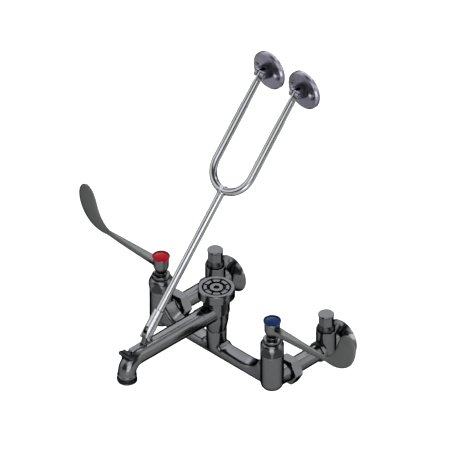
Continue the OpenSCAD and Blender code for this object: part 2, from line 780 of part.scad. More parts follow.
module breaker_body() {
    color("silver") difference() {
        translate([0, valve_y, 0]) union() {
            turned([[0, column_h - breaker_thread_l], [breaker_thread_r, column_h - breaker_thread_l],
                [breaker_thread_r, column_h + 1], [column_r - 0.4, column_h + 1],
                [column_r + 0.2, column_h + 3], [breaker_r - 1.8, column_h + flare_h / 2],
                [breaker_r - 1.2, flare_top - 5],
                [breaker_r - 0.4, flare_top], [breaker_r, flare_top], [breaker_r, barrel_top - 1],
                [cap_thread_r, barrel_top + 1.6], [cap_thread_r, guide_z], [0, guide_z]]);
            translate([0, 0, spout_z]) rod_y(stub_r, -stub_l, 0);
        }
        translate([0, valve_y, 0]) {
            difference() {
                translate([0, 0, chamber_z]) cylinder(r = float_room_r, h = cap_top, $fn = round_fn);
                cylinder(r = riser_out_r, h = breaker_seat_z - breaker_seat_t, $fn = round_fn);
            }
            cylinder(r = riser_in_r, h = breaker_seat_z, $fn = round_fn);
            translate([0, 0, spout_z]) {
                rod_y(spigot_r + thread_gap, -stub_l - 1, -stub_l + spigot_l);
                rod_y(bore_r, -stub_l, -riser_out_r - 0.4);
            }
        }
    }
}

module breaker_gasket() {
    color("black") translate([0, valve_y, column_h]) difference() {
        cylinder(r = column_r - 0.6, h = 1, $fn = round_fn);
        translate([0, 0, -1]) cylinder(r = breaker_thread_r + 0.2, h = 3, $fn = round_fn);
    }
}

module breaker_seat() {
    top = breaker_seat_z;
    color("goldenrod") translate([0, valve_y, 0]) turned([[riser_in_r - 1.6, top - 8],
        [riser_in_r - thread_gap, top - 8], [riser_in_r - thread_gap, top - breaker_seat_t],
        [riser_out_r + 1.2, top - breaker_seat_t], [riser_out_r + 1.2, top - 1],
        [riser_out_r - 0.6, top], [riser_in_r - 0.6, top], [riser_in_r - 1.6, top - 1]]);
}

module breaker_float() {
    z = breaker_seat_z + 0.05;
    color("whitesmoke") translate([0, valve_y, 0]) turned([[0, z], [riser_out_r, z],
        [riser_out_r, z + 2.4], [float_stem_r + 1, z + 4], [float_stem_r, z + 6],
        [float_stem_r, float_top_z - 3], [float_disc_r, float_top_z - 1.6], [float_disc_r, float_top_z],
        [float_stem_r - running_gap, float_top_z], [float_stem_r - running_gap, guide_top - float_lift],
        [0, guide_top - float_lift]]);
}

module float_washer() {
    color("black") translate([0, valve_y, float_top_z]) difference() {
        cylinder(r = float_disc_r - 0.4, h = washer_t, $fn = round_fn);
        translate([0, 0, -1]) cylinder(r = float_stem_r + 0.1, h = washer_t + 2, $fn = round_fn);
    }
}

module window_ring(inner, outer, z, h) {
    translate([0, 0, z]) difference() {
        cylinder(r = outer, h = h, $fn = round_fn);
        translate([0, 0, -1]) cylinder(r = inner, h = h + 2, $fn = round_fn);
    }
}

// Air guide: a hub on spokes, with a crown of raised lands around the air windows
module air_guide() {
    step = 360 / windows;
    color("darkgray") translate([0, valve_y, 0]) difference() {
        union() {
            translate([0, 0, guide_z]) cylinder(r = guide_r, h = guide_t, $fn = round_fn);
            translate([0, 0, guide_z]) cylinder(r = guide_hub_r, h = guide_top - guide_z, $fn = round_fn);
            difference() {
                window_ring(land_in, land_out, guide_z + guide_t / 2, guide_top - guide_z - guide_t / 2);
                for (i = [0 : windows - 1]) rotate([0, 0, (i + 0.5) * step])
                    translate([land_in - 1, -land_slot / 2, guide_z + guide_t])
                        cube([land_out, land_slot, guide_top]);
            }
        }
        difference() {
            window_ring(window_in, window_out, guide_z - 1, guide_t + 2);
            for (i = [0 : windows - 1]) rotate([0, 0, i * step])
                translate([0, -spoke_w / 2, guide_z - 2]) cube([window_out + 1, spoke_w, guide_t + 4]);
        }
        translate([0, 0, guide_z - 1]) cylinder(r = float_stem_r, h = cap_h, $fn = round_fn);
    }
}

module cap_ring() {
    lip_z = guide_z + guide_t;
    color("silver") translate([0, valve_y, 0]) difference() {
        turned([[cap_thread_r + thread_gap, barrel_top], [cap_r - 1, barrel_top], [cap_r, barrel_top + 1],
            [cap_r, cap_top - 1.2], [cap_r - 1.2, cap_top], [cap_opening / 2 + 0.6, cap_top],
            [cap_opening / 2, cap_top - 0.6], [cap_opening / 2, lip_z], [cap_thread_r + thread_gap, lip_z]]);
        translate([0, 0, set_screw_z]) rotate([0, 0, set_screw_turn])
            rod_x(set_screw_r + running_gap, cap_thread_r - 1, cap_r + 1);
    }
}

module cap_set_screw() {
    color("dimgray") translate([0, valve_y, set_screw_z]) rotate([0, 0, set_screw_turn]) difference() {
        rod_x(set_screw_r, cap_thread_r + 0.2, cap_r - 0.6);
        translate([cap_r - 2.2, 0, 0]) rotate([0, 90, 0]) cylinder(r = 0.8, h = 3, $fn = 6);
    }
}

// ---- Spout ----

module elbow(r) {
    translate([0, elbow_y, elbow_z]) rotate([90, 0, -90])
        rotate_extrude(angle = 90, $fn = round_fn) translate([elbow_r, 0]) circle(r, $fn = round_fn);
}

// Side views of the land and the brace lug, drawn with Y across and Z up
module land_profile() {
    polygon([[pin_y + 5, spout_z + 3], [pin_y + 5, land_top - 1], [pin_y + 4, land_top],
        [land_end_y + 1.2, land_top], [land_end_y, land_top - 1.2], [land_end_y, spout_z + 3]]);
}

module lug_profile() {
    polygon([[pin_y + 9, spout_z + 6], [pin_y + 9, spout_z + pipe_r], [pin_y + lug_r, pin_z - 2],
        [pin_y - lug_r, pin_z - 2], [pin_y - lug_r - 3, land_top], [pin_y - lug_r - 3, spout_z + 6]]);
    translate([pin_y, pin_z]) circle(lug_r, $fn = round_fn);
}

module spout() {
    tube_front = elbow_y;
    tube_back = valve_y - stub_l;
    color("silver") difference() {
        union() {
            translate([0, tube_back, spout_z]) rotate([90, 0, 0])
                cylinder(r1 = root_r, r2 = pipe_r, h = tube_back - tube_front, $fn = round_fn);
            translate([0, 0, spout_z]) rod_y(spigot_r, tube_back - 1, tube_back + spigot_l - 0.5);
            elbow(pipe_r);
            translate([0, outlet_y, thread_top_z]) {
                cylinder(r = pipe_r, h = elbow_z - thread_top_z, $fn = round_fn);
                turned([[bore_r + 0.5, 0], [pipe_r + 0.4, 0], [pipe_r + 0.8, 0.4], [pipe_r + 0.8, 1.6],
                    [pipe_r - 0.4, 2.8], [bore_r + 0.5, 2.8]]);
            }
            rotate([90, 0, 90]) linear_extrude(height = lug_t, center = true) lug_profile();
            rotate([90, 0, 90]) linear_extrude(height = land_w, center = true) land_profile();
        }
        translate([0, 0, spout_z]) rod_y(bore_r, tube_front, tube_back + spigot_l + 1);
        elbow(bore_r);
        translate([0, outlet_y, thread_top_z - 1])
            cylinder(r = bore_r, h = elbow_z - thread_top_z + 1, $fn = round_fn);
        translate([0, pin_y, pin_z]) rod_x(brace_pin_d / 2 + running_gap, -lug_t, lug_t);
    }
}

module outlet_thread() {
    r = hose_thread_d / 2;
    color("dimgray") translate([0, outlet_y, 0]) turned([[bore_r, thread_bottom_z],
        [r - 1, thread_bottom_z], [r, thread_bottom_z + 1], [r, thread_top_z - 0.8],
        [r - 0.8, thread_top_z], [bore_r, thread_top_z]]);
}

// The hook stands across the elbow: a bar with round ends and an upright lip
module pail_hook() {
    half = pipe_r - hook_bar_r + 0.3;
    color("dimgray") difference() {
        translate([0, hook_y, 0]) union() {
            translate([0, 0, hook_bar_z]) {
                rod_x(hook_bar_r, -half, half);
                for (x = [-half, half]) translate([x, 0, 0]) sphere(hook_bar_r, $fn = round_fn);
            }
            translate([0, hook_t / 2, 0]) rotate([90, 0, 0]) linear_extrude(height = hook_t) {
                polygon([[-hook_root, hook_bar_z - 5], [hook_root, hook_bar_z - 5],
                    [hook_root + 1.5, hook_bar_z], [half / 2 + 2, hook_top_z - 2],
                    [-half / 2 - 2, hook_top_z - 2], [-hook_root - 1.5, hook_bar_z]]);
                for (x = [-1, 1]) translate([x * half / 2, hook_top_z - 2]) circle(2, $fn = round_fn);
                translate([-half / 2, hook_top_z - 2]) square([half, 2]);
            }
        }
        elbow(pipe_r + 0.02);
    }
}

// ---- Brace ----

module brace_clevis() {
    color("silver") on_brace() difference() {
        intersection() {
            translate([0, 0, -clevis_end_r]) cylinder(r = clevis_r, h = clevis_end_r + clevis_l,
                $fn = round_fn);
            rotate([90, 0, 90]) linear_extrude(height = 2 * clevis_r, center = true) {
                circle(clevis_end_r, $fn = round_fn);
                polygon([[-clevis_end_r, 0], [clevis_end_r, 0], [clevis_r, 9], [clevis_r, clevis_l - 1],
                    [clevis_r - 1, clevis_l], [1 - clevis_r, clevis_l], [-clevis_r, clevis_l - 1],
                    [-clevis_r, 9]]);
            }
        }
        translate([-clevis_slot / 2, -clevis_r, -clevis_end_r - 1])
            cube([clevis_slot, 2 * clevis_r, clevis_end_r + 1 + clevis_slot_l]);
        translate([0, 0, clevis_slot_l]) rod_y(clevis_slot / 2, -clevis_r, clevis_r);
        rod_x(brace_pin_d / 2 + 0.02, -clevis_r, clevis_r);
        translate([0, 0, rod_socket]) cylinder(r = rod_r + thread_gap, h = clevis_l, $fn = round_fn);
    }
}

module brace_pin() {
    half = clevis_r - 0.3;
    r = brace_pin_d / 2;
    color("gray") on_brace() rotate([0, 90, 0]) turned([[0, -half - 0.5], [r - 1, -half - 0.3],
        [r, -half], [r, half], [r - 1, half + 0.3], [0, half + 0.5]]);
}

module brace_rod() {
    color("gainsboro") on_brace() difference() {
        union() {
            translate([0, 0, rod_socket]) cylinder(r = rod_r, h = fork_start - rod_socket,
                $fn = round_fn);
            translate([0, 0, fork_start - rod_r - 1.2]) turned([[0, 0], [rod_r, 0],
                [rod_r + 1.2, 1.4], [rod_r + 1.4, 2.6], [rod_r + 0.4, 3.6], [0, 3.6]]);
        }
        yoke_bend(rod_r + 0.02);
    }
}

module yoke_bend(r) {
    translate([0, 0, bend_at]) rotate([90, 180, 0])
        rotate_extrude(angle = 180, $fn = round_fn) translate([bend_r, 0]) circle(r, $fn = round_fn);
}

// The fork's legs end in flat tongues with a round end
module brace_yoke() {
    tip = brace_l + rod_r;
    color("gainsboro") on_brace() difference() {
        union() {
            yoke_bend(rod_r);
            for (x = [-bend_r, bend_r]) translate([x, 0, bend_at]) intersection() {
                cylinder(r = rod_r, h = tip - bend_at, $fn = round_fn);
                rotate([90, 0, 90]) linear_extrude(height = 2 * rod_r, center = true) {
                    translate([-rod_r, 0]) square([2 * rod_r, brace_l - bend_at]);
                    translate([0, brace_l - bend_at]) circle(rod_r, $fn = round_fn);
                }
            }
        }
        for (x = [-bend_r, bend_r]) translate([x, 0, brace_l]) {
            for (side = [-1, 1]) translate([side * (tongue_t / 2 + rod_r), 0, rod_r / 2 + 1])
                cube([2 * rod_r, 3 * rod_r, 2 * tongue_l + rod_r + 2], center = true);
            rod_x(flange_pin_r + 0.02, -rod_r, rod_r);
        }
    }
}

// A round plate whose two ears hold the tongue of the fork
module brace_flange(side) {
    color("slategray") translate([side * bend_r, 0, pivot_z]) difference() {
        union() {
            translate([0, 0, -flange_drop]) rotate([90, 0, 0]) turned([[0, 0], [flange_r, 0],
                [flange_r, flange_t - 2.2], [flange_r - 2.2, flange_t], [0, flange_t]]);
            rotate([90, 0, 90]) linear_extrude(height = ear_w, center = true) {
                translate([-flange_pivot, 0]) circle(ear_r, $fn = round_fn);
                polygon([[-flange_pivot, ear_r], [-flange_pivot, -ear_r],
                    [-flange_t + 1, -1.5 * ear_r], [-flange_t + 1, ear_r]]);
            }
        }
        translate([-ear_slot / 2, ear_slot_depth - flange_pivot - flange_d, -flange_r])
            cube([ear_slot, flange_d, flange_d]);
        translate([0, -flange_pivot, 0]) rod_x(flange_pin_r + running_gap, -ear_w, ear_w);
        for (x = [-1, 1]) translate([x * screw_spacing / 2, 0, -flange_drop]) rotate([90, 0, 0]) {
            translate([0, 0, -1]) cylinder(r = screw_hole_d / 2, h = flange_t + 2, $fn = round_fn);
            translate([0, 0, flange_t - 2.6]) cylinder(r1 = screw_hole_d / 2, r2 = screw_hole_d / 2 + 2.7,
                h = 2.7, $fn = round_fn);
        }
    }
}

module flange_pins() {
    half = ear_w / 2 + 0.1;
    r = flange_pin_r;
    color("gray") for (x = [-bend_r, bend_r]) translate([x, -flange_pivot, pivot_z])
        rotate([0, 90, 0]) turned([[0, -half - 1], [r + 0.4, -half - 1], [r + 0.8, -half - 0.4],
            [r + 0.8, -half], [r, -half], [r, half], [r + 0.8, half], [r + 0.8, half + 0.4],
            [r + 0.4, half + 1], [0, half + 1]]);
}

bridge_body();
bonnet(hot);  // bonnet_hot
bonnet(cold);  // bonnet_cold
cartridge(hot);  // cartridge_hot
cartridge(cold);  // cartridge_cold
seat_seal(hot);  // seat_seal_hot
seat_seal(cold);  // seat_seal_cold
fixed_disc(hot);  // fixed_disc_hot
fixed_disc(cold);  // fixed_disc_cold
turning_disc(hot);  // turning_disc_hot
turning_disc(cold);  // turning_disc_cold
stem(hot);  // stem_hot
stem(cold);  // stem_cold
stem_rings(hot);  // stem_rings_hot
stem_rings(cold);  // stem_rings_cold
handle(hot);  // handle_hot
handle(cold);  // handle_cold
handle_screw(hot);  // handle_screw_hot
handle_screw(cold);  // handle_screw_cold
index_button(hot);  // index_button_hot
index_button(cold);  // index_button_cold
coupling_nut(hot);  // coupling_nut_hot
coupling_nut(cold);  // coupling_nut_cold
coupling_washer(hot);  // coupling_washer_hot
coupling_washer(cold);  // coupling_washer_cold
inlet_arm(hot);  // inlet_arm_hot
inlet_arm(cold);  // inlet_arm_cold
escutcheon(hot);  // escutcheon_hot
escutcheon(cold);  // escutcheon_cold
stop_bonnet(hot);  // stop_bonnet_hot
stop_bonnet(cold);  // stop_bonnet_cold
stop_cap(hot);  // stop_cap_hot
stop_cap(cold);  // stop_cap_cold
stop_spindle(hot);  // stop_spindle_hot
stop_spindle(cold);  // stop_spindle_cold
stop_disc(hot);  // stop_disc_hot
stop_disc(cold);  // stop_disc_cold
breaker_body();
breaker_gasket();
breaker_seat();
breaker_float();
float_washer();
air_guide();
cap_ring();
cap_set_screw();
spout();
outlet_thread();
pail_hook();
brace_clevis();
brace_pin();
brace_rod();
brace_yoke();
brace_flange(hot);  // brace_flange_left
brace_flange(cold);  // brace_flange_right
flange_pins();
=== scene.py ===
import json
import math

import bpy
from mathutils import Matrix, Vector


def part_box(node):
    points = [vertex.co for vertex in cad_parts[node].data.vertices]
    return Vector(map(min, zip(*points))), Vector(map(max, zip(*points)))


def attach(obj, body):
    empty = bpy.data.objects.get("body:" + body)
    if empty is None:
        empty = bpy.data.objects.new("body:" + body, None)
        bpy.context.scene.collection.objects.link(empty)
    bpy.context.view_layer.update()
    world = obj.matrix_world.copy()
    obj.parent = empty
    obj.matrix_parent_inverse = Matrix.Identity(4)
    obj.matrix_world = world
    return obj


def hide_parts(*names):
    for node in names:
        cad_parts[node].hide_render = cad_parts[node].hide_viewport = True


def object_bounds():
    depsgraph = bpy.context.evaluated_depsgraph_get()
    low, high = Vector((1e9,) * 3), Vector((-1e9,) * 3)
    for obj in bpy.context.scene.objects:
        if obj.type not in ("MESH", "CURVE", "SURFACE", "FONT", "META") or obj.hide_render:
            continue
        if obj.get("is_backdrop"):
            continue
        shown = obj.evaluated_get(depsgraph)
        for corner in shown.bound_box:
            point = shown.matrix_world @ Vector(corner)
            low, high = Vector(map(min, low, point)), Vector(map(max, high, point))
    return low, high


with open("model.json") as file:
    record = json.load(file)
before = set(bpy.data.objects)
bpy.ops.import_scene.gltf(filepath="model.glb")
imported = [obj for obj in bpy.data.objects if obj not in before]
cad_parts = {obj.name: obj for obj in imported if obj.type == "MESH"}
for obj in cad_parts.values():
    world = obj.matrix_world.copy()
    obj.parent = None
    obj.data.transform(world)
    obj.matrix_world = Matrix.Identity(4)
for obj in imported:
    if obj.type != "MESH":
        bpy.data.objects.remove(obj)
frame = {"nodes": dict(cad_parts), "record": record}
cadLow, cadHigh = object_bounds()
bpy.ops.object.select_all(action='DESELECT')
nodes = frame["nodes"]
slotOf = {part["node"]: part["material_slot"] for part in frame["record"]["subparts"]}
bodyOf = {node: body for body, held in frame["record"]["behaviour"]["bodies"].items() for node in held}


# the camera: an isometric look through a very long lens
view = {
    "lens": 1200.0,                      # mm, long enough that the view is nearly parallel
    "sensor": 36.0,                      # mm
    "frameWidth": 0.5806,                # m across the picture, at the target
    "target": (0.0, -0.1144, 0.185),
    "direction": (1.0, -1.0, 1.0),       # from the target towards the camera
    "nearest": 0.1, "farthest": 400.0,   # m, what the camera takes in
}
cameraData = bpy.data.cameras.new("isometricCamera")
cameraData.lens = view["lens"]
cameraData.sensor_width = view["sensor"]
cameraData.clip_start = view["nearest"]
cameraData.clip_end = view["farthest"]
camera = bpy.data.objects.new("isometricCamera", cameraData)
bpy.context.scene.collection.objects.link(camera)
back = Vector(view["direction"]).normalized()
camera.location = Vector(view["target"]) + back * (view["frameWidth"] * view["lens"] / view["sensor"])
camera.rotation_mode = 'QUATERNION'
camera.rotation_quaternion = (-back).to_track_quat('-Z', 'Y')
bpy.context.scene.camera = camera
bpy.context.scene.view_settings.view_transform = 'Standard'
print("camera placed")


def hexColour(code):
    # "#rrggbb" as in a colour picker, turned to the linear values the shaders use
    parts = []
    for i in (1, 3, 5):
        c = int(code[i:i + 2], 16) / 255.0
        parts.append(c / 12.92 if c <= 0.04045 else ((c + 0.055) / 1.055) ** 2.4)
    return (parts[0], parts[1], parts[2], 1.0)


def addNode(tree, kind, settings=None, links=None):
    # settings are properties or input values, links are input: (node, output)
    made = tree.nodes.new(kind)
    for key, value in (settings or {}).items():
        if isinstance(key, str) and hasattr(made, key):
            setattr(made, key, value)
        else:
            made.inputs[key].default_value = value
    for key, (source, output) in (links or {}).items():
        tree.links.new(source.outputs[output], made.inputs[key])
    return made


def mapSpan(tree, source, span, low, high):
    # a reading that runs over the span, turned into a value from low to high
    return addNode(tree, 'ShaderNodeMapRange',
                   {"From Min": span[0], "From Max": span[1], "To Min": low, "To Max": high}, {"Value": source})


def newMaterial(name):
    made = bpy.data.materials.new(name)
    made.use_nodes = True
    made.node_tree.nodes.clear()
    return made, made.node_tree


def perMetre(millimetres):
    # a texture scale whose pattern repeats about once in this many millimetres
    return 1000.0 / millimetres


# floor, room and lamps: each lamp is a softbox at a direction from the object.
# a matt grey card among them renders about 1.8 times as bright as it is written
studio = {
    "floorZ": cadLow.z - 0.12,
    "floorSide": 260.0,
    "floorColour": "#ededeb",
    "floorLift": 0.1,
    "underFloor": "#ffffff",             # what stands below the horizon where the floor ends
    "roomLow": "#5f6163",
    "roomHigh": "#6e6f72",
    "roomStrength": 1.0,
    "rampStops": {"underFloor": 0.49, "roomLow": 0.5, "roomHigh": 0.95},   # from straight down to straight up
    "aim": (0.0, -0.12, 0.1),
    "glows": {                           # soft-edged bright parts of the room, angles in degrees
        "backLeftWall": {"towards": (-0.53, 0.58, 0.62), "full": 12.0, "gone": 36.0, "radiance": 4.4},
        "leftWall": {"towards": (-0.78, -0.50, 0.37), "full": 10.0, "gone": 36.0, "radiance": 2.8},
        "ceiling": {"towards": (0.22, 0.55, 0.80), "full": 8.0, "gone": 34.0, "radiance": 1.6},
        "backLeftLow": {"towards": (-0.76, 0.56, 0.30), "full": 6.0, "gone": 17.0, "radiance": 7.4},
        "frontRight": {"towards": (0.59, -0.58, 0.56), "full": 9.0, "gone": 30.0, "radiance": 4.0},
        "backRightLow": {"towards": (0.79, 0.58, 0.21), "full": 9.0, "gone": 25.0, "radiance": 2.9},
    },
    "lamps": {
        "rightSoftbox": {"towards": (0.62, 0.58, 0.53), "far": 1.7, "size": (0.6, 0.5), "radiance": 1.8},
        "frontWideSoftbox": {"towards": (0.02, -0.82, 0.57), "far": 1.7, "size": (2.8, 0.5), "radiance": 1.7},
        "lowFrontPanel": {"towards": (0.70, -0.71, 0.03), "far": 1.0, "size": (0.6, 0.42), "radiance": 6.4},
        "overheadStrip": {"towards": (0.14, 0.57, 0.81), "far": 1.6, "size": (0.13, 1.1), "radiance": 8.8},
    },
}

bpy.ops.mesh.primitive_plane_add(size=studio["floorSide"], location=(0, 0, studio["floorZ"]))
floor = bpy.context.object
floor.name = "studioFloor"
floor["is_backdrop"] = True
floorMaterial, tree = newMaterial("mattPaperSweep")   # even, pale and without shine
diffuse = addNode(tree, 'ShaderNodeBsdfDiffuse', {"Color": hexColour(studio["floorColour"])})
rays = addNode(tree, 'ShaderNodeLightPath')
seen = addNode(tree, 'ShaderNodeMath', {"operation": 'MAXIMUM'},
               {0: (rays, "Is Camera Ray"), 1: (rays, "Is Glossy Ray")})
seenToo = addNode(tree, 'ShaderNodeMath', {"operation": 'MAXIMUM'},
                  {0: (seen, 0), 1: (rays, "Is Transmission Ray")})
some = addNode(tree, 'ShaderNodeMath', {"operation": 'MULTIPLY', 1: studio["floorLift"]}, {0: (seenToo, 0)})
lift = addNode(tree, 'ShaderNodeEmission', {"Color": hexColour("#ffffff")}, {"Strength": (some, 0)})
both = addNode(tree, 'ShaderNodeAddShader', None, {0: (diffuse, 0), 1: (lift, 0)})
addNode(tree, 'ShaderNodeOutputMaterial', None, {"Surface": (both, 0)})
floor.data.materials.append(floorMaterial)

world = bpy.data.worlds.new("studioRoom")
bpy.context.scene.world = world
world.use_nodes = True
tree = world.node_tree
tree.nodes.clear()
place = addNode(tree, 'ShaderNodeTexCoord')
height = addNode(tree, 'ShaderNodeSeparateXYZ', None, {0: (place, "Generated")})
upDown = mapSpan(tree, (height, 2), (-1.0, 1.0), 0.0, 1.0)
ramp = addNode(tree, 'ShaderNodeValToRGB', None, {0: (upDown, 0)})
stops = studio["rampStops"]
below, above = ramp.color_ramp.elements
below.position = stops["underFloor"]
below.color = hexColour(studio["underFloor"])
above.position = stops["roomHigh"]
above.color = hexColour(studio["roomHigh"])
ramp.color_ramp.elements.new(stops["roomLow"]).color = hexColour(studio["roomLow"])
light = ramp
for glow in studio["glows"].values():
    near = addNode(tree, 'ShaderNodeVectorMath',
                   {"operation": 'DOT_PRODUCT', 1: Vector(glow["towards"]).normalized()}, {0: (place, "Generated")})
    edges = [math.cos(math.radians(glow[end])) for end in ("gone", "full")]
    fade = mapSpan(tree, (near, "Value"), edges, 0.0, glow["radiance"])
    fade.interpolation_type = 'SMOOTHSTEP'
    light = addNode(tree, 'ShaderNodeVectorMath', {"operation": 'ADD'}, {0: (light, 0), 1: (fade, 0)})
sky = addNode(tree, 'ShaderNodeBackground', {"Strength": studio["roomStrength"]}, {"Color": (light, 0)})
addNode(tree, 'ShaderNodeOutputWorld', None, {"Surface": (sky, 0)})

for name, lamp in studio["lamps"].items():
    data = bpy.data.lights.new(name, 'AREA')
    data.shape = 'RECTANGLE'
    data.size, data.size_y = lamp["size"]
    data.energy = lamp["radiance"] * math.pi * data.size * data.size_y   # W
    made = bpy.data.objects.new(name, data)
    bpy.context.scene.collection.objects.link(made)
    towards = Vector(lamp["towards"]).normalized()
    made.location = Vector(studio["aim"]) + towards * lamp["far"]
    made.rotation_mode = 'QUATERNION'
    made.rotation_quaternion = (-towards).to_track_quat('-Z', 'Y')
    made.visible_camera = False
print("studio built")


# where each reading that a finish uses begins and ends
spans = {
    "haze": (0.3, 0.72), "buffLines": (0.5, 0.8), "edgeTurn": (0.98, 0.8), "plateCorner": (0.3, 0.88),
    "cloud": (0.3, 0.7), "plasticCorner": (0.3, 0.95),
}


def platedMetal(name, look):
    # plate over a buffed casting: reflections that waver a little with the casting under them,
    # a haze of handling, edges lightened as wear and as painted highlight, and painted shade that
    # darkens the corners; its edge tint is what keeps the plate dark where it turns away
    made, tree = newMaterial(name)
    where = addNode(tree, 'ShaderNodeTexCoord')
    haze = addNode(tree, 'ShaderNodeTexNoise', {"Scale": perMetre(look["hazeSize"]), "Detail": 4.0, "Roughness": 0.6},
                   {"Vector": (where, "Object")})
    rub = addNode(tree, 'ShaderNodeMapping', {"Scale": (1.0, 1.0, 0.12), "Rotation": (0.5, 0.3, 0.2)},
                  {"Vector": (where, "Object")})
    lines = addNode(tree, 'ShaderNodeTexNoise', {"Scale": perMetre(look["buffSize"]), "Detail": 2.0},
                    {"Vector": (rub, 0)})
    rounded = addNode(tree, 'ShaderNodeBevel', {"samples": 6, "Radius": look["edgeRadius"]})
    flat = addNode(tree, 'ShaderNodeNewGeometry')
    turn = addNode(tree, 'ShaderNodeVectorMath', {"operation": 'DOT_PRODUCT'},
                   {0: (rounded, 0), 1: (flat, "Normal")})
    # edge wear and painted highlight: the base colour turns lighter where the rounded normal leaves the flat one
    rim = mapSpan(tree, (turn, "Value"), spans["edgeTurn"], 0.0, look["edgeWearAndHighlight"])
    soft = mapSpan(tree, (haze, 0), spans["haze"], look["roughLow"], look["roughHigh"])
    scuff = mapSpan(tree, (lines, 0), spans["buffLines"], 0.0, look["scuff"])
    rough = addNode(tree, 'ShaderNodeMath', {"operation": 'ADD'}, {0: (soft, 0), 1: (scuff, 0)})
    tone = addNode(tree, 'ShaderNodeMix', {"data_type": 'RGBA', 6: hexColour(look["base"]),
                   7: hexColour(look["hazed"])}, {0: (haze, 0)})
    shone = addNode(tree, 'ShaderNodeMix', {"data_type": 'RGBA', 7: hexColour(look["edgeWearHighlightColour"])},
                    {0: (rim, 0), 6: (tone, 2)})
    # painted shade: ambient occlusion darkens corners, creases and holes towards a near-black colour
    corner = addNode(tree, 'ShaderNodeAmbientOcclusion', {"samples": 8, "Distance": look["cornerReach"]})
    cornerShade = mapSpan(tree, (corner, "AO"), spans["plateCorner"], look["cornerShadeAmount"], 0.0)
    toned = addNode(tree, 'ShaderNodeMix', {"data_type": 'RGBA', 7: hexColour(look["cornerShade"])},
                    {0: (cornerShade, 0), 6: (shone, 2)})
    cast = addNode(tree, 'ShaderNodeTexNoise', {"Scale": perMetre(look["castSize"]), "Detail": 1.0},
                   {"Vector": (where, "Object")})
    waver = addNode(tree, 'ShaderNodeBump', {"Strength": 0.5, "Distance": look["castDepth"]},
                    {"Height": (cast, 0), "Normal": (rounded, 0)})
    grain = addNode(tree, 'ShaderNodeBump', {"Strength": 0.2, "Distance": look["buffDepth"]},
                    {"Height": (lines, 0), "Normal": (waver, 0)})
    shader = addNode(tree, 'ShaderNodeBsdfPrincipled', {"Metallic": 1.0, "Specular Tint": hexColour(look["edge"])},
                     {"Base Color": (toned, 2), "Roughness": (rough, 0), "Normal": (grain, 0)})
    addNode(tree, 'ShaderNodeOutputMaterial', None, {"Surface": (shader, 0)})
    return made


